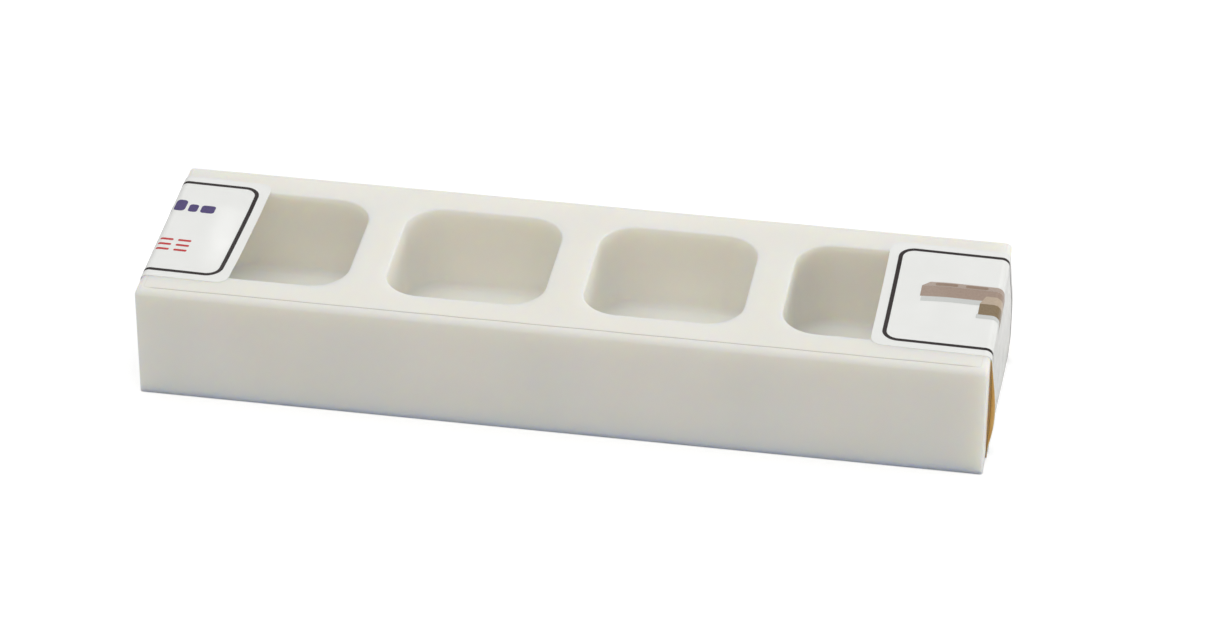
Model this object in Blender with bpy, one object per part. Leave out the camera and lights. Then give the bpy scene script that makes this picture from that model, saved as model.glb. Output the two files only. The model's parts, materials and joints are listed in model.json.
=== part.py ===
"""Silicone mould for four square tealight candles, with the printed label that wraps it.

Metres, +Z up, +X along the block, -Y the front. The origin is on the resting plane, under the
middle of the block. The label is one film strip: two flaps on the top, joined by a band that runs
down both ends and along the underside. A release liner lies between the band and the block.
"""

import math

import bmesh
import bpy

# Driving dimensions of the block
BLOCK_LENGTH = 0.2113
BLOCK_WIDTH = 0.0592
BLOCK_HEIGHT = 0.0300
TOP_EDGE_RADIUS = 0.0015
TOP_EDGE_STEPS = 4

# Cavities, in one row whose middle is a little left of the block's
CAVITY_COUNT = 4
CAVITY_ROW_X = -0.0010
CAVITY_PITCH = 0.0495
CAVITY_SIDE = 0.0400
CAVITY_DEPTH = 0.0230
CAVITY_CORNER_RADIUS = 0.0092
CAVITY_CORNER_STEPS = 8
FLOOR_FILLET_RADIUS = 0.0025
FLOOR_FILLET_STEPS = 3
WICK_HOLE_RADIUS = 0.0010
WICK_HOLE_SIDES = 16
CUT_OVERRUN = 0.0020

# Label strip: the film, and the liner between it and the block
FILM_THICKNESS = 0.00012
LINER_THICKNESS = 0.00010
LAYER_GAP = 0.00005
LABEL_FRONT_Y = -0.0225
LABEL_BACK_Y = 0.0240
LEFT_FLAP_LENGTH = 0.0226
RIGHT_FLAP_LENGTH = 0.0297
LEFT_FLAP_SKEW = math.radians(2.0)
FLAP_CORNER_RADIUS = 0.0030
FLAP_CORNER_STEPS = 6
HINGE_GAP = 0.0003
END_BULGE = 0.0018
END_STEPS = 14
FOLD_STEPS = 4
CORNER_STEPS = 3

# Levels and faces that follow from them
LINER_STANDOFF = LAYER_GAP
FILM_STANDOFF = LINER_STANDOFF + LINER_THICKNESS + LAYER_GAP
BLOCK_BOTTOM = FILM_STANDOFF + FILM_THICKNESS
BLOCK_TOP = BLOCK_BOTTOM + BLOCK_HEIGHT
HALF_LENGTH = BLOCK_LENGTH / 2
HALF_WIDTH = BLOCK_WIDTH / 2
FOLD_X = HALF_LENGTH - TOP_EDGE_RADIUS
FOLD_Z = BLOCK_TOP - TOP_EDGE_RADIUS
CAVITY_FLOOR = BLOCK_TOP - CAVITY_DEPTH


def clear_scene():
    for obj in list(bpy.data.objects):
        bpy.data.objects.remove(obj)


def material(name, colour, roughness, metallic=0.0):
    """A Principled material in one plain finish."""
    made = bpy.data.materials.new(name)
    made.use_nodes = True
    shader = made.node_tree.nodes["Principled BSDF"]
    shader.inputs["Base Color"].default_value = (*colour, 1.0)
    shader.inputs["Roughness"].default_value = roughness
    shader.inputs["Metallic"].default_value = metallic
    return made


def add_object(name, mesh, finish=None):
    obj = bpy.data.objects.new(name, mesh)
    bpy.context.scene.collection.objects.link(obj)
    if finish:
        mesh.materials.append(finish)
    return obj


def add_cutter(name, mesh):
    """A shape that only cuts others: it isn't part of the model."""
    cutter = add_object(name, mesh)
    cutter.hide_render = True
    cutter.display_type = "WIRE"
    return cutter


def cut(obj, cutter):
    step = obj.modifiers.new("cut_" + cutter.name, "BOOLEAN")
    step.operation = "DIFFERENCE"
    step.solver = "EXACT"
    step.object = cutter


def loft(name, rings):
    """A closed mesh through rings of equal point count, capped at both ends, faces out."""
    shape = bmesh.new()
    loops = []
    for ring in rings:
        loops.append([shape.verts.new(point) for point in ring])
    count = len(loops[0])
    for lower, upper in zip(loops, loops[1:]):
        for i in range(count):
            j = (i + 1) % count
            shape.faces.new((lower[i], lower[j], upper[j], upper[i]))
    shape.faces.new(list(reversed(loops[0])))
    shape.faces.new(loops[-1])
    bmesh.ops.recalc_face_normals(shape, faces=shape.faces)
    mesh = bpy.data.meshes.new(name)
    shape.to_mesh(mesh)
    shape.free()
    return mesh


def rounded_rectangle(half_x, half_y, radius, steps, centre_x=0.0):
    """Points counter-clockwise round a rectangle with round corners."""
    points = []
    for quarter, (sx, sy) in enumerate(((1, 1), (-1, 1), (-1, -1), (1, -1))):
        for step in range(steps + 1):
            angle = (quarter + step / steps) * math.pi / 2
            x = centre_x + sx * (half_x - radius) + radius * math.cos(angle)
            y = sy * (half_y - radius) + radius * math.sin(angle)
            points.append((x, y))
    return points


# Mould block


def block_rings():
    """The block's outline level by level, drawn in round the top edge. Vertical edges are crisp."""
    levels = [(0.0, BLOCK_BOTTOM), (0.0, FOLD_Z)]
    for step in range(1, TOP_EDGE_STEPS + 1):
        angle = step / TOP_EDGE_STEPS * math.pi / 2
        inset = TOP_EDGE_RADIUS * (1 - math.cos(angle))
        levels.append((inset, FOLD_Z + TOP_EDGE_RADIUS * math.sin(angle)))
    rings = []
    for inset, z in levels:
        x = HALF_LENGTH - inset
        y = HALF_WIDTH - inset
        rings.append([(x, y, z), (-x, y, z), (-x, -y, z), (x, -y, z)])
    return rings


def cavity_rings(centre_x):
    """A cavity's cutter: straight walls down to a round fillet at the floor."""
    half = CAVITY_SIDE / 2
    levels = []
    for step in range(FLOOR_FILLET_STEPS + 1):
        angle = step / FLOOR_FILLET_STEPS * math.pi / 2
        inset = FLOOR_FILLET_RADIUS * (1 - math.sin(angle))
        levels.append((inset, CAVITY_FLOOR + FLOOR_FILLET_RADIUS * (1 - math.cos(angle))))
    levels.append((0.0, BLOCK_TOP + CUT_OVERRUN))
    rings = []
    for inset, z in levels:
        outline = rounded_rectangle(
            half - inset, half - inset, CAVITY_CORNER_RADIUS - inset, CAVITY_CORNER_STEPS, centre_x
        )
        rings.append([(x, y, z) for x, y in outline])
    return rings


def wick_hole_rings(centre_x):
    rings = []
    for z in (BLOCK_BOTTOM - CUT_OVERRUN, CAVITY_FLOOR + CUT_OVERRUN):
        ring = []
        for step in range(WICK_HOLE_SIDES):
            angle = step / WICK_HOLE_SIDES * 2 * math.pi
            x = centre_x + WICK_HOLE_RADIUS * math.cos(angle)
            ring.append((x, WICK_HOLE_RADIUS * math.sin(angle), z))
        rings.append(ring)
    return rings


def cavity_centres():
    first = CAVITY_ROW_X - CAVITY_PITCH * (CAVITY_COUNT - 1) / 2
    return [first + i * CAVITY_PITCH for i in range(CAVITY_COUNT)]


def make_mould_body():
    silicone = material("silicone", (0.76, 0.75, 0.70), 0.55)
    body = add_object("mould_body", loft("mould_body", block_rings()), silicone)
    for number, centre_x in enumerate(cavity_centres(), start=1):
        cavity = f"cavity_{number}"
        cut(body, add_cutter(cavity, loft(cavity, cavity_rings(centre_x))))
        hole = f"wick_hole_{number}"
        cut(body, add_cutter(hole, loft(hole, wick_hole_rings(centre_x))))
    return body


# Label strip


def end_bulge(z):
    """How far the strip stands off the right end at height z: nothing at both edges of the end."""
    share = (z - BLOCK_BOTTOM) / (FOLD_Z - BLOCK_BOTTOM)
    return END_BULGE * math.sin(math.pi * min(max(share, 0.0), 1.0)) ** 2


def arc(centre, radius, start, end, steps):
    """Points of an arc in the XZ plane, from the start angle to the end angle."""
    points = []
    for step in range(steps + 1):
        angle = start + (end - start) * step / steps
        points.append(
            (centre[0] + radius * math.cos(angle), centre[1] + radius * math.sin(angle))
        )
    return points


def right_half_path(standoff, with_fold):
    """The strip's line in the XZ plane at a distance from the block, from the middle of the
    underside, round the lower edge, up the right end and, with_fold, over the top edge."""
    points = [(0.0, BLOCK_BOTTOM - standoff)]
    points += arc((HALF_LENGTH, BLOCK_BOTTOM), standoff, -math.pi / 2, 0.0, CORNER_STEPS)
    for step in range(1, END_STEPS):
        z = BLOCK_BOTTOM + (FOLD_Z - BLOCK_BOTTOM) * step / END_STEPS
        points.append((HALF_LENGTH + standoff, z))
    if with_fold:
        points += arc((FOLD_X, FOLD_Z), TOP_EDGE_RADIUS + standoff, 0.0, math.pi / 2, FOLD_STEPS)
    return points


def strip_mesh(name, standoff, thickness, with_fold):
    """The strip along both ends and the underside, as a closed section drawn out across Y."""
    section = []
    for distance in (standoff, standoff + thickness):
        right = right_half_path(distance, with_fold)
        left = [(-x, z) for x, z in reversed(right[1:])]
        bulged = [(x + end_bulge(z), z) for x, z in right]
        line = left + bulged
        section += line if distance > standoff else list(reversed(line))
    rings = []
    for y in (LABEL_FRONT_Y, LABEL_BACK_Y):
        rings.append([(x, y, z) for x, z in section])
    return loft(name, rings)


def flap_mesh(name, side, length, skew):
    """A flat flap from the top fold inwards, with two round corners and a slanted free edge.

    side is +1 for the right flap and -1 for the left. The mesh is centred on its hinge line."""
    mid_y = (LABEL_FRONT_Y + LABEL_BACK_Y) / 2
    half_y = (LABEL_BACK_Y - LABEL_FRONT_Y) / 2
    outline = [(-HINGE_GAP, -half_y), (-HINGE_GAP, half_y)]
    reach = length - TOP_EDGE_RADIUS
    for corner_y, start in ((half_y - FLAP_CORNER_RADIUS, 90), (-half_y + FLAP_CORNER_RADIUS, 180)):
        for step in range(FLAP_CORNER_STEPS + 1):
            angle = math.radians(start + 90 * step / FLAP_CORNER_STEPS)
            x = -reach + FLAP_CORNER_RADIUS * (1 + math.cos(angle))
            outline.append((x, corner_y + FLAP_CORNER_RADIUS * math.sin(angle)))
    rings = []
    for z in (-FILM_THICKNESS, 0.0):
        ring = []
        for x, y in outline:
            slant = y * math.tan(skew) * x / -reach
            ring.append((side * x + slant, y + mid_y, z))
        rings.append(ring)
    return loft(name, rings)


def make_label():
    film = material("label_film", (0.86, 0.86, 0.84), 0.22)
    paper = material("liner_paper", (0.55, 0.36, 0.14), 0.45)
    add_object("label_band", strip_mesh("label_band", FILM_STANDOFF, FILM_THICKNESS, True), film)
    liner = strip_mesh("release_liner", LINER_STANDOFF, LINER_THICKNESS, False)
    add_object("release_liner", liner, paper)
    hinge_z = BLOCK_TOP + FILM_STANDOFF + FILM_THICKNESS
    left = flap_mesh("label_left_flap", -1, LEFT_FLAP_LENGTH, LEFT_FLAP_SKEW)
    right = flap_mesh("label_right_flap", 1, RIGHT_FLAP_LENGTH, 0.0)
    for name, mesh, x in (("label_left_flap", left, -FOLD_X), ("label_right_flap", right, FOLD_X)):
        flap = add_object(name, mesh, film)
        flap.location = (x, 0.0, hinge_z)


clear_scene()
make_mould_body()
make_label()
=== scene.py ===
"""Looks of the silicone tealight mould and its wrap-round printed label.

The block, the film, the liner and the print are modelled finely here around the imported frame. The
label is described by one surface: s runs from a flap's free edge, over the top fold, down the end
and along the underside to the middle, and t runs across the strip. The film, the liner and every
printed shape are thin sheets laid at a height (lift) over that surface.
"""

import json
import math
from functools import lru_cache

import bmesh
import bpy
import numpy as np
from mathutils import Matrix, Vector, noise


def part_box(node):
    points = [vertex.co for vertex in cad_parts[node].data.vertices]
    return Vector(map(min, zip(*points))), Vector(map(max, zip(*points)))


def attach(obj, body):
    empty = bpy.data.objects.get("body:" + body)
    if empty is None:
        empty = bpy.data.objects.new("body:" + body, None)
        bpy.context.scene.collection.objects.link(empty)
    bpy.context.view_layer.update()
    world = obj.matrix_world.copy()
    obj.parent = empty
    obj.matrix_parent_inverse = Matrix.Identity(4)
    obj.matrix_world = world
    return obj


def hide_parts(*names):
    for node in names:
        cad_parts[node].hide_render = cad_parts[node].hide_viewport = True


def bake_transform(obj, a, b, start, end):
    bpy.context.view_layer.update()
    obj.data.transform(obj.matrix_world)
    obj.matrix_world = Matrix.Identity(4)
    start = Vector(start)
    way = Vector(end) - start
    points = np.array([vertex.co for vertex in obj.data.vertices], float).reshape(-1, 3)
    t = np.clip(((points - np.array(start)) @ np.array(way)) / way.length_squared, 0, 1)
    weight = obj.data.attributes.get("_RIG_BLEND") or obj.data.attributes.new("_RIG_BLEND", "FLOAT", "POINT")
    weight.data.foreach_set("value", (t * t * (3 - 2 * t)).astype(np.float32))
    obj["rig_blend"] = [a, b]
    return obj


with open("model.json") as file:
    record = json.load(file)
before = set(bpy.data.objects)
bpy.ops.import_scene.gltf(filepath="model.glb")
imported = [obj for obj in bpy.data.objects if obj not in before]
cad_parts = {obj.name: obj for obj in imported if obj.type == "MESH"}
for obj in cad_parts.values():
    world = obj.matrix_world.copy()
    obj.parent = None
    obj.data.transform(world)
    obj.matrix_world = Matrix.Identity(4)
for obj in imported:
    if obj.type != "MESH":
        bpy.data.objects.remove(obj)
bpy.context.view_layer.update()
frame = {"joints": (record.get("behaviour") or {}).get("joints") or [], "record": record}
MM = 0.001

# The block, from the frame
BLOCK_LOW, BLOCK_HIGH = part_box("mould_body")
HALF_LENGTH = BLOCK_HIGH.x
HALF_WIDTH = BLOCK_HIGH.y
TOP = BLOCK_HIGH.z
BOTTOM = BLOCK_LOW.z
OPENINGS = frame["record"]["physics"]["openings"]
CENTRES = sorted((o["box_m"][0][0] + o["box_m"][1][0]) / 2 for o in OPENINGS)

# Cavities and casting details
CAVITY_HALF = 20.0 * MM
CAVITY_RADIUS = 9.2 * MM
CAVITY_DEPTH = 23.0 * MM
FLOOR_FILLET = 1.9 * MM
RIM_RADIUS = 0.45 * MM
WICK_HOLE = 1.0 * MM
WICK_BEVEL = 0.35
EDGE_RADIUS = 1.7 * MM
EDGE_BAND = 3.4 * MM
RIM_STEPS = 4
CAVITY_WALL_STEPS = 12
FILLET_STEPS = 8
TOP_FACE_STEPS = 7
FLOOR_STEPS = 10
WICK_STEPS = 5
UNDERSIDE_STEPS = 12
EDGE_STEPS = 8
WALL_STEPS = 16
FOOT_ROUND_STEPS = 3
PARTING_INSET = 2.0 * MM
PARTING_DEPTH = 0.25 * MM
PARTING_FADE = 4.0 * MM
PARTING_GROOVE = 0.16 * MM
# Shares: the step across the line, its clearness at the back and at the ends, its least depth
PARTING_STEP = 0.2
PARTING_AT_BACK = 0.1
PARTING_AT_ENDS = 0.12
LEAST_GROOVE = 0.3
WANDER, WANDER_SIZE = 0.16 * MM, 11 * MM
JITTER, JITTER_SIZE = 0.05 * MM, 2.5 * MM
# The point attribute that holds how strongly painted shade darkens the parting line's groove.
PARTING_SHADE = "parting_line_shade"
UPRIGHT_RADIUS = 0.8 * MM
FOOT_RADIUS = 0.25 * MM
UNEVEN, UNEVEN_SIZE = 0.10 * MM, 38.0 * MM
DIMPLE, DIMPLE_SIZE = 0.02 * MM, 7.0 * MM
SETTLE_REACH = 5.0 * MM
SETTLE_HEIGHT = 9.0 * MM
FOOT_CLEARANCE = 0.03 * MM
SIDE_POINTS = 32
CORNER_POINTS = 5

# The label strip, from the frame
BAND_LOW, BAND_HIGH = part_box("label_band")
LEFT_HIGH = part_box("label_left_flap")[1]
RIGHT_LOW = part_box("label_right_flap")[0]
STRIP_FRONT = BAND_LOW.y
STRIP_BACK = BAND_HIGH.y
STRIP_MIDDLE = (STRIP_FRONT + STRIP_BACK) / 2
STRIP_HALF = (STRIP_BACK - STRIP_FRONT) / 2
HINGES = {j["name"]: Vector(j["pos_m"]) for j in frame["joints"] if j["type"] == "hinge"}
FILM = 0.10 * MM
LINER = 0.08 * MM
FLAP_RADIUS = 3.0 * MM
LEFT, RIGHT = -1, 1


def smooth(value):
    """0 to 1 with level ends, for a value from 0 to 1."""
    value = min(max(value, 0.0), 1.0)
    return value * value * (3 - 2 * value)


def ripple(x, y, z, size):
    """Even noise of about -1 to 1 that changes over the given distance."""
    return noise.noise(Vector((x, y, z)) / size)


def add_object(name, mesh, finish):
    obj = bpy.data.objects.new(name, mesh)
    bpy.context.scene.collection.objects.link(obj)
    mesh.materials.append(finish)
    return obj


# Materials


def new_material(name):
    """A Principled material, with its node tree and its shader."""
    made = bpy.data.materials.new(name)
    made.use_nodes = True
    tree = made.node_tree
    shader = tree.nodes["Principled BSDF"]
    return made, tree, shader


def add_noise(tree, size, detail, stretch=(1, 1, 1)):
    """A noise texture in metres whose grains are about size across."""
    where = tree.nodes.new("ShaderNodeTexCoord")
    scaling = tree.nodes.new("ShaderNodeMapping")
    scaling.inputs["Scale"].default_value = stretch
    texture = tree.nodes.new("ShaderNodeTexNoise")
    texture.inputs["Scale"].default_value = 1 / size
    texture.inputs["Detail"].default_value = detail
    tree.links.new(where.outputs["Object"], scaling.inputs["Vector"])
    tree.links.new(scaling.outputs["Vector"], texture.inputs["Vector"])
    return texture.outputs["Fac"]


def add_range(tree, source, low, high):
    """Spreads a noise value over low to high."""
    step = tree.nodes.new("ShaderNodeMapRange")
    step.inputs["From Min"].default_value = 0.3
    step.inputs["From Max"].default_value = 0.7
    step.inputs["To Min"].default_value = low
    step.inputs["To Max"].default_value = high
    tree.links.new(source, step.inputs["Value"])
    return step.outputs["Result"]


def mix_colours(tree, factor, first, second):
    mix = tree.nodes.new("ShaderNodeMix")
    mix.data_type = "RGBA"
    tree.links.new(factor, mix.inputs["Factor"])
    mix.inputs["A"].default_value = (*first, 1.0)
    mix.inputs["B"].default_value = (*second, 1.0)
    return mix.outputs["Result"]


def add_bump(tree, shader, source, distance, strength):
    bump = tree.nodes.new("ShaderNodeBump")
    bump.inputs["Distance"].default_value = distance
    bump.inputs["Strength"].default_value = strength
    tree.links.new(source, bump.inputs["Height"])
    tree.links.new(bump.outputs["Normal"], shader.inputs["Normal"])


def let_through(tree, shader, share, colour, straight):
    """Makes a thin sheet translucent: the first share of the light spreads behind it. Lamp light
    also goes straight on at each of its two faces, by the second share, so its shadow is pale."""
    behind = tree.nodes.new("ShaderNodeBsdfTranslucent")
    behind.inputs["Color"].default_value = (*colour, 1.0)
    mix = tree.nodes.new("ShaderNodeMixShader")
    mix.inputs["Fac"].default_value = share
    tree.links.new(shader.outputs["BSDF"], mix.inputs[1])
    tree.links.new(behind.outputs["BSDF"], mix.inputs[2])
    pale = tree.nodes.new("ShaderNodeMath")
    pale.operation = "MULTIPLY"
    pale.inputs[1].default_value = straight
    tree.links.new(tree.nodes.new("ShaderNodeLightPath").outputs["Is Shadow Ray"], pale.inputs[0])
    shadow = tree.nodes.new("ShaderNodeMixShader")
    tree.links.new(pale.outputs["Value"], shadow.inputs["Fac"])
    tree.links.new(mix.outputs["Shader"], shadow.inputs[1])
    tree.links.new(tree.nodes.new("ShaderNodeBsdfTransparent").outputs["BSDF"], shadow.inputs[2])
    tree.links.new(shadow.outputs["Shader"], tree.nodes["Material Output"].inputs["Surface"])


def silicone_material():
    """Whitish cast rubber: light soaks in, the skin is satin with a faint cast grain."""
    made, tree, shader = new_material("silicone_rubber")
    clouds = add_range(tree, add_noise(tree, 22 * MM, 3), 0.0, 1.0)
    colour = mix_colours(tree, clouds, (0.880, 0.866, 0.800), (0.900, 0.888, 0.835))
    # Painted shade: the base colour is darkened along the groove of the parting line, by the share stored on
    # the block's points.
    line = tree.nodes.new("ShaderNodeAttribute")
    line.attribute_name = PARTING_SHADE
    groove_shaded = mix_colours(tree, line.outputs["Fac"], (0.0, 0.0, 0.0), (0.34, 0.31, 0.26))
    tree.links.new(colour, groove_shaded.node.inputs["A"])
    tree.links.new(groove_shaded, shader.inputs["Base Color"])
    shine = add_range(tree, add_noise(tree, 5 * MM, 4), 0.42, 0.58)
    tree.links.new(shine, shader.inputs["Roughness"])
    shader.inputs["Subsurface Weight"].default_value = 1.0
    shader.inputs["Subsurface Radius"].default_value = (1.0, 0.82, 0.50)
    shader.inputs["Subsurface Scale"].default_value = 6.0 * MM
    shader.inputs["Specular IOR Level"].default_value = 0.35
    add_bump(tree, shader, add_noise(tree, 0.7 * MM, 4), 0.03 * MM, 0.5)
    return made


def film_material():
    """White coated label film: glossy, with the faint orange peel of the coating."""
    made, tree, shader = new_material("label_film_white")
    clouds = add_range(tree, add_noise(tree, 9 * MM, 3), 0.0, 1.0)
    colour = mix_colours(tree, clouds, (0.945, 0.950, 0.925), (0.965, 0.970, 0.950))
    tree.links.new(colour, shader.inputs["Base Color"])
    shine = add_range(tree, add_noise(tree, 3 * MM, 3), 0.14, 0.22)
    tree.links.new(shine, shader.inputs["Roughness"])
    shader.inputs["Coat Weight"].default_value = 0.35
    shader.inputs["Coat Roughness"].default_value = 0.08
    add_bump(tree, shader, add_noise(tree, 2.5 * MM, 2), 0.02 * MM, 0.5)
    let_through(tree, shader, 0.1, (0.95, 0.95, 0.92), 0.8)
    return made


def liner_material():
    """Honey-coloured glassine backing: fibrous, waxy and a little see-through."""
    made, tree, shader = new_material("liner_honey")
    shader.inputs["Roughness"].default_value = 0.35
    fibres = add_range(tree, add_noise(tree, 1.2 * MM, 5, (1, 1, 0.35)), 0.0, 1.0)
    colour = mix_colours(tree, fibres, (0.82, 0.61, 0.28), (0.92, 0.73, 0.40))
    tree.links.new(colour, shader.inputs["Base Color"])
    shader.inputs["Coat Weight"].default_value = 0.3
    add_bump(tree, shader, add_noise(tree, 0.5 * MM, 4), 0.01 * MM, 0.5)
    let_through(tree, shader, 0.5, (0.95, 0.75, 0.35), 0.5)
    return made


def ink_material(name, colour, spread=0.12, gloss=0.3):
    """Printed ink under the same gloss as the film, slightly uneven in depth."""
    made, tree, shader = new_material(name)
    shader.inputs["Roughness"].default_value = 0.24
    grain = add_range(tree, add_noise(tree, 0.5 * MM, 3), 0.0, 1.0)
    light = tuple(min(1.0, c * (1 + spread) + 0.01) for c in colour)
    dark = tuple(c * (1 - spread) for c in colour)
    tree.links.new(mix_colours(tree, grain, dark, light), shader.inputs["Base Color"])
    shader.inputs["Specular IOR Level"].default_value = gloss
    return made


FLOOR_GLOW = 0.45


def floor_material():
    made, tree, shader = new_material("studio_floor")
    shader.inputs["Roughness"].default_value = 0.6
    clouds = add_range(tree, add_noise(tree, 0.4, 2), 0.0, 1.0)
    colour = mix_colours(tree, clouds, (0.74, 0.74, 0.74), (0.76, 0.76, 0.76))
    tree.links.new(colour, shader.inputs["Base Color"])
    shader.inputs["Specular IOR Level"].default_value = 0.2
    # Towards the camera the floor is overexposed, as in a studio shot. It lights nothing more.
    glow = tree.nodes.new("ShaderNodeMath")
    glow.operation = "MULTIPLY"
    glow.inputs[1].default_value = FLOOR_GLOW
    tree.links.new(tree.nodes.new("ShaderNodeLightPath").outputs["Is Camera Ray"], glow.inputs[0])
    tree.links.new(glow.outputs["Value"], shader.inputs["Emission Strength"])
    shader.inputs["Emission Color"].default_value = (1.0, 1.0, 1.0, 1.0)
    return made


# The silicone block


def round_side(start, end, start_radius, end_radius, turn):
    """SIDE_POINTS points from the middle of one round corner of an outline to just before the
    middle of the next. turn is the outline's sharp corner-to-corner direction, a unit vector."""
    points = []
    first = CORNER_POINTS if start_radius > 0 else 0
    last = CORNER_POINTS if end_radius > 0 else 0
    inward = Vector((-turn.y, turn.x))
    for k in range(SIDE_POINTS):
        if k < first:
            angle = math.pi / 4 * (1 - k / first)
            along = start_radius * (1 - math.sin(angle))
            points.append(start + turn * along + inward * start_radius * (1 - math.cos(angle)))
        elif k > SIDE_POINTS - last:
            angle = math.pi / 4 * (k - (SIDE_POINTS - last)) / last
            along = end_radius * (1 - math.sin(angle))
            points.append(end - turn * along + inward * end_radius * (1 - math.cos(angle)))
        else:
            share = (k - first) / (SIDE_POINTS - first - last)
            begin = start + turn * start_radius
            points.append(begin.lerp(end - turn * end_radius, share))
    return points


def outline(low_x, high_x, half_y, radii):
    """The four sides of a rounded rectangle, counter-clockwise from its front left corner."""
    corners = [
        Vector((low_x, -half_y)),
        Vector((high_x, -half_y)),
        Vector((high_x, half_y)),
        Vector((low_x, half_y)),
    ]
    sides = []
    for i in range(4):
        j = (i + 1) % 4
        turn = (corners[j] - corners[i]).normalized()
        sides.append(round_side(corners[i], corners[j], radii[i], radii[j], turn))
    return sides


def cell_outline(number, inset, radius):
    """The part of the block around one cavity: round at the block's own corners only."""
    middle_lines = [(a + b) / 2 for a, b in zip(CENTRES, CENTRES[1:])]
    low = -HALF_LENGTH + inset if number == 0 else middle_lines[number - 1]
    high = HALF_LENGTH - inset if number == len(CENTRES) - 1 else middle_lines[number]
    left = radius if number == 0 else 0.0
    right = radius if number == len(CENTRES) - 1 else 0.0
    return outline(low, high, HALF_WIDTH - inset, (left, right, right, left))


def block_outline(inset, radius):
    """One loop round the whole block, made of the outer sides of the cells."""
    cells = [cell_outline(n, inset, radius) for n in range(len(CENTRES))]
    front = [p for cell in cells for p in cell[0]]
    back = [p for cell in reversed(cells) for p in cell[2]]
    return front + cells[-1][1] + back + cells[0][3]


def cavity_outline(centre_x, inset):
    half = CAVITY_HALF - inset
    radius = CAVITY_RADIUS - inset
    sides = outline(centre_x - half, centre_x + half, half, (radius,) * 4)
    return [p for side in sides for p in side]


def circle_like(points, centre_x, radius):
    """The points moved straight towards the centre, onto a circle."""
    centre = Vector((centre_x, 0.0))
    return [centre + (p - centre).normalized() * radius for p in points]


def between(first, second, steps):
    """Loops that lead from the first loop to the second, without the first."""
    loops = []
    for k in range(1, steps + 1):
        loops.append([a.lerp(b, k / steps) for a, b in zip(first, second)])
    return loops


def at_height(loop, z):
    return [Vector((p.x, p.y, z)) for p in loop]


def cavity_levels():
    """(inset from the cavity's outline, height) down a cavity: rim, wall and floor fillet."""
    floor = TOP - CAVITY_DEPTH
    levels = []
    for k in range(RIM_STEPS + 1):
        angle = k / RIM_STEPS * math.pi / 2
        levels.append((-RIM_RADIUS * (1 - math.sin(angle)), TOP - RIM_RADIUS * (1 - math.cos(angle))))
    wall_top = TOP - RIM_RADIUS
    wall_height = floor + FLOOR_FILLET - wall_top
    for k in range(1, CAVITY_WALL_STEPS):
        levels.append((0.0, wall_top + wall_height * k / CAVITY_WALL_STEPS))
    for k in range(FILLET_STEPS + 1):
        angle = k / FILLET_STEPS * math.pi / 2
        inset = FLOOR_FILLET * (1 - math.cos(angle))
        levels.append((inset, floor + FLOOR_FILLET * (1 - math.sin(angle))))
    return levels


def cell_rings(number):
    """All loops of one cell, from the outer top edge down through the cavity and the wick hole
    and back out along the underside."""
    centre_x = CENTRES[number]
    edge = [p for side in cell_outline(number, EDGE_BAND, UPRIGHT_RADIUS) for p in side]
    rim = cavity_outline(centre_x, -RIM_RADIUS)
    rings = [at_height(edge, TOP)]
    rings += [at_height(loop, TOP) for loop in between(edge, rim, TOP_FACE_STEPS)]
    for inset, z in cavity_levels()[1:]:
        rings.append(at_height(cavity_outline(centre_x, inset), z))
    floor = TOP - CAVITY_DEPTH
    floor_edge = cavity_outline(centre_x, FLOOR_FILLET)
    mouth = circle_like(floor_edge, centre_x, WICK_HOLE * (1 + WICK_BEVEL))
    rings += [at_height(loop, floor) for loop in between(floor_edge, mouth, FLOOR_STEPS)]
    hole = circle_like(floor_edge, centre_x, WICK_HOLE)
    bevel = WICK_BEVEL * WICK_HOLE
    for k in range(WICK_STEPS + 1):
        depth = bevel + (floor - BOTTOM - bevel) * k / WICK_STEPS
        rings.append(at_height(hole, floor - depth))
    rings += [at_height(loop, BOTTOM) for loop in between(hole, edge, UNDERSIDE_STEPS)]
    return rings


def edge_levels():
    """(inset, height, share of painted shade) from the top face's edge band out over the parting line,
    which leaves a fine step in the face, and down the side."""
    groove = PARTING_GROOVE
    step_down = PARTING_STEP * PARTING_DEPTH
    levels = [
        (EDGE_BAND, TOP, 0.0),
        (PARTING_INSET + 2.2 * groove, TOP, 0.0),
        # Painted shade darkens the groove's bottom fully and its two sides a little.
        (PARTING_INSET + groove, TOP - 0.1 * PARTING_DEPTH, 0.1),
        (PARTING_INSET, TOP - PARTING_DEPTH, 1.0),
        (PARTING_INSET - groove, TOP - step_down, 0.1),
    ]
    for k in range(EDGE_STEPS + 1):
        angle = k / EDGE_STEPS * math.pi / 2
        drop = EDGE_RADIUS * (1 - math.cos(angle))
        levels.append((EDGE_RADIUS * (1 - math.sin(angle)), TOP - step_down - drop, 0.0))
    wall_top = TOP - step_down - EDGE_RADIUS
    wall_foot = BOTTOM + FOOT_RADIUS
    for k in range(1, WALL_STEPS + 1):
        levels.append((0.0, wall_top + (wall_foot - wall_top) * k / WALL_STEPS, 0.0))
    for k in range(1, FOOT_ROUND_STEPS + 1):
        angle = k / FOOT_ROUND_STEPS * math.pi / 2
        height = wall_foot - FOOT_RADIUS * math.sin(angle)
        levels.append((FOOT_RADIUS * (1 - math.cos(angle)), height, 0.0))
    levels.append((EDGE_BAND, BOTTOM, 0.0))
    return levels


def line_strength(x, y):
    """How clear the parting line is, 0 to 1: it fades towards the back and at both ends. It sets the
    groove's depth and how much painted shade darkens it.
    """
    backwards = PARTING_AT_BACK + (1 - PARTING_AT_BACK) * smooth(0.5 - y / HALF_WIDTH)
    from_end = HALF_LENGTH - PARTING_INSET - abs(x)
    inwards = PARTING_AT_ENDS + (1 - PARTING_AT_ENDS) * smooth(from_end / PARTING_FADE)
    return backwards * inwards


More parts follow.
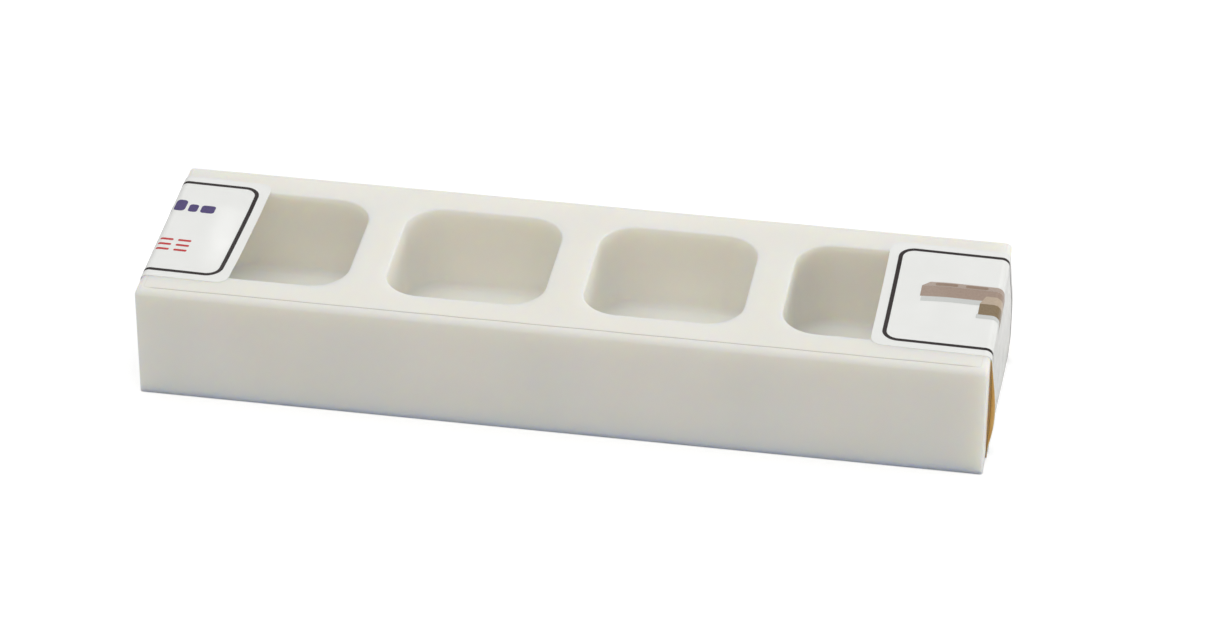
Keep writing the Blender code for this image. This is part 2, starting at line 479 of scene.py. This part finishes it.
def edge_rings():
    """Loops round the outside of the block. The parting line wanders a little."""
    rings = []
    for inset, z, _ in edge_levels():
        loop = block_outline(inset, UPRIGHT_RADIUS)
        if PARTING_INSET / 2 < inset < EDGE_BAND:
            for p in loop:
                wander = WANDER * ripple(p.x, p.y, 0.0, WANDER_SIZE)
                wander += JITTER * ripple(p.x, p.y, 0.2, JITTER_SIZE)
                side = Vector((0.0, math.copysign(1.0, p.y)))
                if abs(p.x) > HALF_LENGTH - EDGE_BAND:
                    side = p.normalized()
                p += side * wander
        ring = at_height(loop, z)
        if inset == PARTING_INSET:
            for p in ring:
                p.z = TOP - PARTING_DEPTH * max(line_strength(p.x, p.y), LEAST_GROOVE)
        rings.append(ring)
    return rings


def bridge(shape, rings, marks=None):
    """Quads between closed loops of equal length. marks holds each loop's share of painted shade along the
    parting line.
    """
    loops = [[shape.verts.new(p) for p in ring] for ring in rings]
    layer = shape.verts.layers.float[PARTING_SHADE]
    # Painted shade along the parting line, weaker towards the back and the ends.
    for loop, mark in zip(loops, marks or []):
        for vert in loop:
            vert[layer] = mark * line_strength(vert.co.x, vert.co.y)
    count = len(loops[0])
    for a, b in zip(loops, loops[1:]):
        for i in range(count):
            j = (i + 1) % count
            shape.faces.new((a[i], a[j], b[j], b[i]))


def soften(co):
    """The small unevenness of a hand-poured block, always inwards, and its soft foot, which
    settles past the label on to the table at the front and the back."""
    x, y, z = co
    outer = max(abs(x) / HALF_LENGTH, abs(y) / HALF_WIDTH)
    depth = UNEVEN * (1 + ripple(x, y, z, UNEVEN_SIZE)) + DIMPLE * (1 + ripple(x, y, z, DIMPLE_SIZE))
    if outer > 0.999:
        if abs(y) / HALF_WIDTH > 0.999:
            y -= math.copysign(depth, y)
        else:
            x -= math.copysign(depth, x)
    past_label = max(y - STRIP_BACK, STRIP_FRONT - y)
    settle = smooth(past_label / SETTLE_REACH) * smooth(1 - (z - BOTTOM) / SETTLE_HEIGHT)
    z -= (BOTTOM - FOOT_CLEARANCE) * settle
    return Vector((x, y, z))


def make_block(finish):
    shape = bmesh.new()
    # A layer for the painted shade along the parting line's groove.
    shape.verts.layers.float.new(PARTING_SHADE)
    for number in range(len(CENTRES)):
        bridge(shape, cell_rings(number))
    bridge(shape, edge_rings(), [mark for _, _, mark in edge_levels()])
    bmesh.ops.remove_doubles(shape, verts=shape.verts, dist=1e-6)
    bmesh.ops.recalc_face_normals(shape, faces=shape.faces)
    for vert in shape.verts:
        vert.co = soften(vert.co)
    mesh = bpy.data.meshes.new("mould_block")
    shape.to_mesh(mesh)
    shape.free()
    mesh.shade_smooth()
    block = add_object("mould_block", mesh, finish)
    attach(block, "mould")
    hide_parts("mould_body")


# The label's surface

FOLD_FRONT = 1.9 * MM
FOLD_BACK = 2.0 * MM
LEFT_FOLD = 1.9 * MM
TOP_LIFT = 0.13 * MM
SIDE_LIFT = 0.24 * MM
CURL = 1.45 * MM
BACK_BULGE = 1.0 * MM
SAG = 0.45 * MM
UNDERSIDE = 0.045 * MM
SAG_REACH = 10.0 * MM
SAG_CROWN = 0.6
CURL_FOOT = 0.92
CURL_SKEW = 1.3
CURL_REACH = 0.040
CURL_FALL = 1.4
# The bulge at the back of the right end, in shares. Down the end it grows over BULGE_RISE, then loses
# BULGE_FALL of itself over the fall's length. Across the strip it begins at BULGE_START.
BULGE_RISE = 0.5
BULGE_FALL = 0.35
BULGE_FALL_START, BULGE_FALL_LENGTH = 0.8, 0.2
BULGE_START = 0.15
CREASE = 0.10 * MM
CREASE_STRETCH = 0.15
CREASE_SIZE = 3.2 * MM
WAVE = 0.015 * MM
WAVE_SIZE = 8.0 * MM
FOOT_BEND = 0.5 * MM
TOP_STEPS = 60
FOLD_STEPS = 24
END_STEPS = 60
FOOT_STEPS = 12
SMOOTHINGS = 6
EDGE_CROWDING = 0.12
FINE_ROW, ROW, COARSE_ROW = 0.25 * MM, 0.8 * MM, 4.0 * MM
FINE_BEFORE_FOLD, FINE_AFTER_FOLD = 6 * MM, 5 * MM
FINE_BEFORE_FOOT, FINE_ROUND_FOOT = 5 * MM, 8 * MM
STRIP_COLUMNS = 56
LINER_GAP = 0.02 * MM
LINER_START = 1.0 * MM
BLEND_RISE = 4.0
BLEND_STRETCH = 2.4 * MM
SHARP_ANGLE = math.radians(50)
LEAN_REACH = 30.0 * MM
FLAP_LEAN = math.radians(1.25)
LEFT_SKEW = math.radians(2.0)
LEFT_EDGE = LEFT_HIGH.x - STRIP_HALF * math.tan(LEFT_SKEW)


def free_edge(side, t):
    """x of a flap's free edge. The left one is a little slanted, as its CAD flap is."""
    if side == RIGHT:
        return RIGHT_LOW.x
    return LEFT_EDGE + (t - STRIP_MIDDLE) * math.tan(LEFT_SKEW)


def drift(side, s):
    """The strip isn't laid quite square: each flap leans a little, and the band is straight."""
    lean = side * math.tan(FLAP_LEAN) * (LEAN_REACH / 2 - min(s, LEAN_REACH))
    return lean * smooth(2 - s / LEAN_REACH)


def end_standoff(side, t, z):
    """How far the film's outer face stands off the block's end at a height."""
    if side == LEFT:
        return SIDE_LIFT
    depth = (TOP - z) / (TOP - BOTTOM)
    depth = min(max(depth, 0.0), 1.0)
    front = math.sin(math.pi * min((depth / CURL_FOOT) ** CURL_SKEW, 1.0))
    fall = smooth((depth - BULGE_FALL_START) / BULGE_FALL_LENGTH)
    back = smooth(depth / BULGE_RISE) * (1 - BULGE_FALL * fall)
    from_front = (t - STRIP_FRONT) / (2 * STRIP_HALF)
    curl = CURL * front * math.exp(-((max(from_front, 0.0) / CURL_REACH) ** CURL_FALL))
    bulge = BACK_BULGE * back * smooth((from_front - BULGE_START) / (1 - BULGE_START))
    crease = CREASE * ripple(t, 0.0, z * CREASE_STRETCH, CREASE_SIZE) * math.sin(math.pi * depth)
    return SIDE_LIFT + curl + bulge + abs(crease)


def cavity_depth_inside(x, y):
    """How far inside a cavity's outline a point is, 0 or less outside."""
    centre_x = min(CENTRES, key=lambda c: abs(c - x))
    flat = CAVITY_HALF - CAVITY_RADIUS
    dx = max(abs(x - centre_x) - flat, 0.0)
    dy = max(abs(y) - flat, 0.0)
    if dx == 0.0 or dy == 0.0:
        return CAVITY_HALF - max(abs(x - centre_x), abs(y))
    return CAVITY_RADIUS - math.hypot(dx, dy)


def top_height(x, y):
    """The film's outer face over the block's top: it sags a little where it spans a cavity."""
    crown = 1 - SAG_CROWN * (y / CAVITY_HALF) ** 2
    sag = SAG * smooth(cavity_depth_inside(x, y) / SAG_REACH) * crown
    wave = WAVE * ripple(x, y, 0.5, WAVE_SIZE)
    return TOP + TOP_LIFT + wave - sag


@lru_cache(maxsize=None)
def section(side, t):
    """The film's outer face across one line of the strip: arrays of length, x and z."""
    across = (t - STRIP_FRONT) / (2 * STRIP_HALF)
    fold = LEFT_FOLD if side == LEFT else FOLD_FRONT + (FOLD_BACK - FOLD_FRONT) * smooth(across)
    fold_z = TOP + TOP_LIFT - fold
    fold_x = HALF_LENGTH + end_standoff(side, t, fold_z) - fold
    foot = FOOT_BEND
    points = []
    edge = abs(free_edge(side, t))
    for k in range(TOP_STEPS):
        x = edge + (fold_x - edge) * k / TOP_STEPS
        points.append((x, top_height(side * x, t)))
    for k in range(FOLD_STEPS + 1):
        angle = math.pi / 2 * (1 - k / FOLD_STEPS)
        points.append((fold_x + fold * math.cos(angle), fold_z + fold * math.sin(angle)))
    for k in range(1, END_STEPS):
        z = fold_z + (foot + UNDERSIDE - fold_z) * k / END_STEPS
        points.append((HALF_LENGTH + end_standoff(side, t, z), z))
    foot_x = HALF_LENGTH + end_standoff(side, t, foot + UNDERSIDE) - foot
    for k in range(FOOT_STEPS + 1):
        angle = -math.pi / 2 * k / FOOT_STEPS
        points.append((foot_x + foot * math.cos(angle), UNDERSIDE + foot + foot * math.sin(angle)))
    points.append((0.0, UNDERSIDE))
    line = np.array(points)
    first, last = TOP_STEPS + 2, -FOOT_STEPS - 2
    for _ in range(SMOOTHINGS):
        before, after = line[first - 1 : last - 1], line[first + 1 : last + 1]
        line[first:last] = (before + 2 * line[first:last] + after) / 4
    steps = np.hypot(*np.diff(line, axis=0).T)
    length = np.concatenate(([0.0], np.cumsum(steps)))
    return length, side * line[:, 0], line[:, 1]


def strip_end(side, t):
    """The strip's length from the free edge to the middle of the underside."""
    return section(side, t)[0][-1]


def strip_point(side, s, t):
    """The place at length s along the strip's middle line and t across it. Lines beside the
    middle are a little longer or shorter, and s is stretched on them to match."""
    length, x, z = section(side, t)
    along = min(max(s * length[-1] / strip_end(side, STRIP_MIDDLE), 0.0), length[-1])
    return Vector((np.interp(along, length, x), t + drift(side, s), np.interp(along, length, z)))


def strip_place(side, s, t, lift):
    """A point lifted off the strip's outer face along its normal."""
    ds, dt = 0.15 * MM, 0.25 * MM
    along = strip_point(side, s + ds, t) - strip_point(side, s - ds, t)
    across = strip_point(side, s, t + dt) - strip_point(side, s, t - dt)
    normal = along.cross(across).normalized() * side
    return strip_point(side, s, t) + normal * lift


def close_sheet(name, shape, finish):
    """An object from a finished sheet: faces out, smooth, and sharp along the cut edges."""
    bmesh.ops.recalc_face_normals(shape, faces=shape.faces)
    mesh = bpy.data.meshes.new(name)
    shape.to_mesh(mesh)
    shape.free()
    mesh.shade_smooth()
    mesh.set_sharp_from_angle(angle=SHARP_ANGLE)
    return add_object(name, mesh, finish)


def make_sheet(name, rows, columns, low, high, finish):
    """A closed thin sheet. Each row is (side, s, t at its front end, t at its back end)."""
    shape = bmesh.new()
    layers = []
    for lift in (low, high):
        grid = []
        for side, s, front, back in rows:
            line = []
            for k in range(columns + 1):
                share = k / columns
                share -= EDGE_CROWDING * math.sin(2 * math.pi * share)
                line.append(shape.verts.new(strip_place(side, s, front + (back - front) * share, lift)))
            grid.append(line)
        layers.append(grid)
    lower, upper = layers
    last = len(rows) - 1
    for i in range(last):
        for k in range(columns):
            shape.faces.new((upper[i][k], upper[i][k + 1], upper[i + 1][k + 1], upper[i + 1][k]))
            shape.faces.new((lower[i][k], lower[i + 1][k], lower[i + 1][k + 1], lower[i][k + 1]))
        for k in (0, columns):
            shape.faces.new((lower[i][k], upper[i][k], upper[i + 1][k], lower[i + 1][k]))
    for i in (0, last):
        for k in range(columns):
            shape.faces.new((lower[i][k], lower[i][k + 1], upper[i][k + 1], upper[i][k]))
    return close_sheet(name, shape, finish)


def make_ribbon(name, side, path, width, low, high, finish):
    """A closed thin ribbon of even width along an open path of (s, t) points."""
    shape = bmesh.new()
    rings = []
    for i, (s, t) in enumerate(path):
        before, after = path[max(i - 1, 0)], path[min(i + 1, len(path) - 1)]
        turn = Vector((after[0] - before[0], after[1] - before[1])).normalized()
        across = Vector((-turn.y, turn.x)) * width / 2
        ring = []
        for sign, lift in ((-1, low), (1, low), (1, high), (-1, high)):
            place = strip_place(side, s + sign * across.x, t + sign * across.y, lift)
            ring.append(shape.verts.new(place))
        rings.append(ring)
    for a, b in zip(rings, rings[1:]):
        for i in range(4):
            j = (i + 1) % 4
            shape.faces.new((a[i], a[j], b[j], b[i]))
    shape.faces.new(rings[0])
    shape.faces.new(rings[-1])
    return close_sheet(name, shape, finish)


def spread(start, end, step):
    """Evenly spaced values from start to end, both included, about step apart."""
    count = max(1, round(abs(end - start) / step))
    return [start + (end - start) * k / count for k in range(count + 1)]


def strip_stations(side):
    """Values of s for the strip's rows: close together at the free edge and in the folds."""
    flap = HALF_LENGTH - abs(free_edge(side, STRIP_MIDDLE))
    end = strip_end(side, STRIP_MIDDLE)
    fold_in, fold_out = flap - FINE_BEFORE_FOLD, flap + FINE_AFTER_FOLD
    foot_in = flap + (TOP - BOTTOM) - FINE_BEFORE_FOOT
    foot_out = foot_in + FINE_ROUND_FOOT
    stations = spread(0.0, FLAP_RADIUS, FINE_ROW)
    stations += spread(FLAP_RADIUS, fold_in, ROW)[1:]
    stations += spread(fold_in, fold_out, FINE_ROW)[1:]
    stations += spread(fold_out, foot_in, ROW)[1:]
    stations += spread(foot_in, foot_out, FINE_ROW)[1:]
    stations += spread(foot_out, end, COARSE_ROW)[1:]
    return stations


def film_rows(side):
    rows = []
    for s in strip_stations(side):
        half = STRIP_HALF
        if s < FLAP_RADIUS:
            half += math.sqrt(FLAP_RADIUS**2 - (FLAP_RADIUS - s) ** 2) - FLAP_RADIUS
        rows.append((side, s, STRIP_MIDDLE - half, STRIP_MIDDLE + half))
    return rows


def bend_with_flap(piece, side):
    """The piece turns with its flap about the top fold, and with the band below it. The blend
    runs over the first stretch of the flap; its slope keeps the underside on the band's side."""
    hinge = HINGES["left_flap_peel" if side == LEFT else "right_flap_peel"]
    start = Vector((hinge.x, hinge.y, TOP))
    step = BLEND_STRETCH / (1 + BLEND_RISE * BLEND_RISE)
    end = start + Vector((-side * step, 0.0, BLEND_RISE * step))
    flap = "left_flap" if side == LEFT else "right_flap"
    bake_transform(piece, "label_band", flap, start=start, end=end)
    return piece


def make_film(finish):
    halves = (
        (LEFT, "film_left_half", ("label_left_flap", "label_band")),
        (RIGHT, "film_right_half", ("label_right_flap",)),
    )
    for side, name, nodes in halves:
        film = make_sheet(name, film_rows(side), STRIP_COLUMNS, -FILM, 0.0, finish)
        bend_with_flap(film, side)
        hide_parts(*nodes)


def make_liner(finish):
    """One strip from the left end, under the block, to the right end, on the film's inside."""
    rows = []
    for side in (LEFT, RIGHT):
        top = HALF_LENGTH - abs(free_edge(side, STRIP_MIDDLE)) + LINER_START
        half = [(side, s, STRIP_FRONT, STRIP_BACK) for s in strip_stations(side) if s > top]
        rows += half if side == LEFT else list(reversed(half))[1:]
    outer = -FILM - LINER_GAP
    liner = make_sheet("liner_strip", rows, STRIP_COLUMNS, outer - LINER, outer, finish)
    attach(liner, "label_band")
    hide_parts("release_liner")


# Print

INK_LOW = 0.012 * MM
INK_HIGH = 0.030 * MM
BORDER_INSET = 2.9 * MM
BORDER_WIDTH = 1.05 * MM
BORDER_RADIUS = 3.6 * MM
BORDER_STEPS = 12
INK_ROW = 0.3 * MM
BAR_COLUMNS = 4
BAR_ROUND_STEPS = 5
SLANT_COLUMNS = 5
POINTED = 0.02  # height of a slanted shape at its point, as a share
OVERPRINT = 0.015 * MM

# Violet bars (length, height) and red rules (row, low side) on the left flap. Sizes without MM are
# in millimetres.
VIOLET_BARS = ((3.6, 3.4), (2.4, 3.4), (3.0, 5.0), (1.8, 3.4))
VIOLET_BEFORE_FOLD, VIOLET_LOW, VIOLET_GAP = 11.0 * MM, 7.7, 0.8
RED_LENGTHS = (3.4, 3.4, 2.2)
RED_ROWS = (("low", -10.6), ("middle", -8.35), ("high", -6.1))
RED_BEFORE_FOLD, RED_HEIGHT, RED_GAP = 9.0 * MM, 0.85, 1.2


def border_path(side):
    """Along the strip's front edge, round the free end and back along its back edge."""
    front = STRIP_FRONT + BORDER_INSET
    back = STRIP_BACK - BORDER_INSET
    along = [s for s in strip_stations(side) if s > BORDER_INSET + BORDER_RADIUS]
    path = [(s, front) for s in reversed(along)]
    centre = BORDER_INSET + BORDER_RADIUS
    for k in range(BORDER_STEPS + 1):
        angle = math.pi / 2 * k / BORDER_STEPS
        s = centre - BORDER_RADIUS * math.sin(angle)
        path.append((s, front + BORDER_RADIUS * (1 - math.cos(angle))))
    for t in spread(front + BORDER_RADIUS, back - BORDER_RADIUS, ROW)[1:-1]:
        path.append((BORDER_INSET, t))
    for k in range(BORDER_STEPS + 1):
        angle = math.pi / 2 * k / BORDER_STEPS
        s = centre - BORDER_RADIUS * math.cos(angle)
        path.append((s, back - BORDER_RADIUS * (1 - math.sin(angle))))
    path += [(s, back) for s in along]
    return path


def bar(name, side, s_range, t_range, finish, rounding=0.5, low=INK_LOW, high=INK_HIGH):
    """A printed bar with round ends. rounding is the corner radius as a share of half its height."""
    start, end = s_range
    middle = (t_range[0] + t_range[1]) / 2
    half = (t_range[1] - t_range[0]) / 2
    radius = half * rounding
    rows = []
    turns = [math.pi / 2 * k / BAR_ROUND_STEPS for k in range(BAR_ROUND_STEPS + 1)]
    stations = [start + radius * (1 - math.cos(turn)) for turn in turns[:-1]]
    stations += spread(start + radius, end - radius, INK_ROW)
    stations += [end - radius * (1 - math.sin(turn)) for turn in turns[1:]]
    for s in stations:
        near = max(start + radius - s, s - end + radius, 0.0)
        height = half - radius + math.sqrt(max(radius**2 - near**2, 0.0))
        rows.append((side, s, middle - height, middle + height))
    return bend_with_flap(make_sheet(name, rows, BAR_COLUMNS, low, high, finish), side)


def slanted(name, side, bottom, top, t_range, finish, low=INK_LOW, high=INK_HIGH):
    """A printed four-sided shape: bottom and top are its s ranges at the two values of t."""
    rows = []
    t0, t1 = t_range
    marks = sorted((*bottom, *top))
    stations = []
    for a, b in zip(marks, marks[1:]):
        if b - a > 1e-6:
            stations += spread(a, b, INK_ROW)[(1 if stations else 0):]
    for s in stations:
        low_t, high_t = t0, t1
        if bottom[0] != top[0] and s < max(bottom[0], top[0]):
            share = (s - bottom[0]) / (top[0] - bottom[0])
            if top[0] > bottom[0]:
                high_t = t0 + (t1 - t0) * max(share, POINTED)
            else:
                low_t = t0 + (t1 - t0) * min(share, 1 - POINTED)
        if bottom[1] != top[1] and s > min(bottom[1], top[1]):
            share = (s - bottom[1]) / (top[1] - bottom[1])
            if top[1] > bottom[1]:
                low_t = t0 + (t1 - t0) * min(share, 1 - POINTED)
            else:
                high_t = t0 + (t1 - t0) * max(share, POINTED)
        rows.append((side, s, low_t, high_t))
    return bend_with_flap(make_sheet(name, rows, SLANT_COLUMNS, low, high, finish), side)


def make_border(finish):
    for side, name in ((LEFT, "border_line_left"), (RIGHT, "border_line_right")):
        line = make_ribbon(
            name, side, border_path(side), BORDER_WIDTH, INK_LOW, INK_HIGH, finish
        )
        bend_with_flap(line, side)


def make_left_print(violet, red):
    """Plain bars and rules where the label has its details, running over the fold on to the end."""
    flap = HALF_LENGTH - abs(free_edge(LEFT, STRIP_MIDDLE))
    s = flap - VIOLET_BEFORE_FOLD
    for number, (length, tall) in enumerate(VIOLET_BARS, start=1):
        t_range = (VIOLET_LOW * MM, (VIOLET_LOW + tall) * MM)
        bar(f"violet_bar_{number}", LEFT, (s, s + length * MM), t_range, violet, 0.45)
        s += (length + VIOLET_GAP) * MM
    s = flap - RED_BEFORE_FOLD
    for number, length in enumerate(RED_LENGTHS, start=1):
        for row, low in RED_ROWS:
            t_range = (low * MM, (low + RED_HEIGHT) * MM)
            bar(f"red_rule_{row}_{number}", LEFT, (s, s + length * MM), t_range, red, 0.8)
        s += (length + RED_GAP) * MM


def make_right_print(inks):
    """A plain little block drawn in perspective, running over the fold on to the end."""
    start, end = 9.6 * MM, 33.0 * MM
    lean = 1.9 * MM
    front = (1.2 * MM, 5.8 * MM)
    shadow = (-0.9 * MM, front[0])
    top = (5.85 * MM, 7.7 * MM)
    hollow, hollow_length = (6.2 * MM, 7.3 * MM), 5.6 * MM
    over = (INK_HIGH, INK_HIGH + OVERPRINT)
    under_block = (start + 0.3 * MM, end)
    slanted("drawn_shadow", RIGHT, under_block, under_block, shadow, inks["shadow"])
    slanted("drawn_front", RIGHT, (start, end), (start, end), front, inks["front"])
    slanted("drawn_top", RIGHT, (start, end), (start + lean, end), top, inks["top"])
    for number, place in enumerate((12.9 * MM, 20.4 * MM), start=1):
        along = (place, place + hollow_length)
        bar(f"drawn_hollow_{number}", RIGHT, along, hollow, inks["hollow"], 0.9, *over)
    foot, foot_lean = 24.6 * MM, 1.2 * MM
    foot_shadow = (-6.6 * MM, -4.8 * MM)
    foot_front = (-4.9 * MM, -0.1 * MM)
    foot_top = (foot_front[1], 3.3 * MM)
    along = (foot - 0.4 * MM, foot + 9 * MM)
    bar("drawn_foot_shadow", RIGHT, along, foot_shadow, inks["shadow"], 0.3)
    slanted("drawn_foot_top", RIGHT, (foot, end), (foot + foot_lean, end), foot_top,
            inks["foot_top"], *over)
    slanted("drawn_foot_front", RIGHT, (foot, end), (foot, end), foot_front,
            inks["foot_front"], *over)


# Floor, light and camera

FLOOR_HALF = 4.0
FLOOR_DROP = 0.05 * MM
WORLD_STRENGTH = 0.44
# Each lamp's name, size, power, place and the point it faces
LAMPS = (
    ("overhead", (1.8, 1.4), 10.6, (-0.1, -0.25, 1.5), (0.0, 0.0, 0.0)),
    ("right_panel", (0.8, 0.4), 5.2, (1.2, 0.45, 0.24), (0.1, 0.0, 0.015)),
    ("back_wall", (2.4, 1.0), 3.2, (-0.3, 1.6, 1.05), (0.0, 0.0, 0.0)),
    ("gloss_panel", (0.18, 0.16), 0.32, (-0.255, 1.35, 0.84), (0.0, 0.0, 0.0)),
)


def add_floor():
    shape = bmesh.new()
    bmesh.ops.create_grid(shape, x_segments=8, y_segments=8, size=FLOOR_HALF)
    mesh = bpy.data.meshes.new("floor")
    shape.to_mesh(mesh)
    shape.free()
    floor = add_object("floor", mesh, floor_material())
    floor.location.z = -FLOOR_DROP


def add_light(name, size, power, place, target):
    data = bpy.data.lights.new(name, "AREA")
    data.shape = "RECTANGLE"
    data.size, data.size_y = size
    data.energy = power
    lamp = bpy.data.objects.new(name, data)
    bpy.context.scene.collection.objects.link(lamp)
    lamp.location = place
    lamp.rotation_euler = (Vector(target) - Vector(place)).to_track_quat("-Z", "Y").to_euler()


def add_world(strength):
    world = bpy.data.worlds.new("studio")
    world.use_nodes = True
    background = world.node_tree.nodes["Background"]
    background.inputs["Color"].default_value = (1.0, 1.0, 1.0, 1.0)
    background.inputs["Strength"].default_value = strength
    bpy.context.scene.world = world


def add_camera():
    azimuth = math.radians(9.56)
    elevation = math.radians(33.66)
    roll = math.radians(0.13)
    distance = 1.1986
    target = Vector((0.0111, -0.0204, TOP))
    forward = Vector(
        (
            -math.sin(azimuth) * math.cos(elevation),
            math.cos(azimuth) * math.cos(elevation),
            -math.sin(elevation),
        )
    )
    data = bpy.data.cameras.new("camera")
    data.sensor_width = 36.0
    data.lens = 145.3
    data.clip_start = 0.05
    camera = bpy.data.objects.new("camera", data)
    bpy.context.scene.collection.objects.link(camera)
    turn = forward.to_track_quat("-Z", "Y").to_matrix().to_4x4()
    camera.matrix_world = (
        Matrix.Translation(target - forward * distance) @ turn @ Matrix.Rotation(roll, 4, "Z")
    )
    bpy.context.scene.camera = camera


def main():
    make_block(silicone_material())
    make_film(film_material())
    make_liner(liner_material())
    make_border(ink_material("ink_dark", (0.024, 0.016, 0.016), gloss=0.15))
    make_left_print(
        ink_material("ink_violet", (0.062, 0.038, 0.170)), ink_material("ink_red", (0.58, 0.030, 0.032))
    )
    make_right_print(
        {
            "front": ink_material("ink_tan", (0.385, 0.283, 0.221), 0.06),
            "top": ink_material("ink_tan_light", (0.46, 0.365, 0.305), 0.06),
            "hollow": ink_material("ink_tan_dark", (0.310, 0.214, 0.152), 0.06),
            "foot_top": ink_material("ink_sand", (0.530, 0.420, 0.310), 0.06),
            "foot_front": ink_material("ink_olive", (0.250, 0.177, 0.092), 0.08),
            "shadow": ink_material("ink_grey", (0.66, 0.67, 0.65), 0.03),
        }
    )
    add_floor()
    add_world(WORLD_STRENGTH)
    for lamp in LAMPS:
        add_light(*lamp)
    add_camera()
    bpy.context.scene.view_settings.view_transform = "Standard"


main()
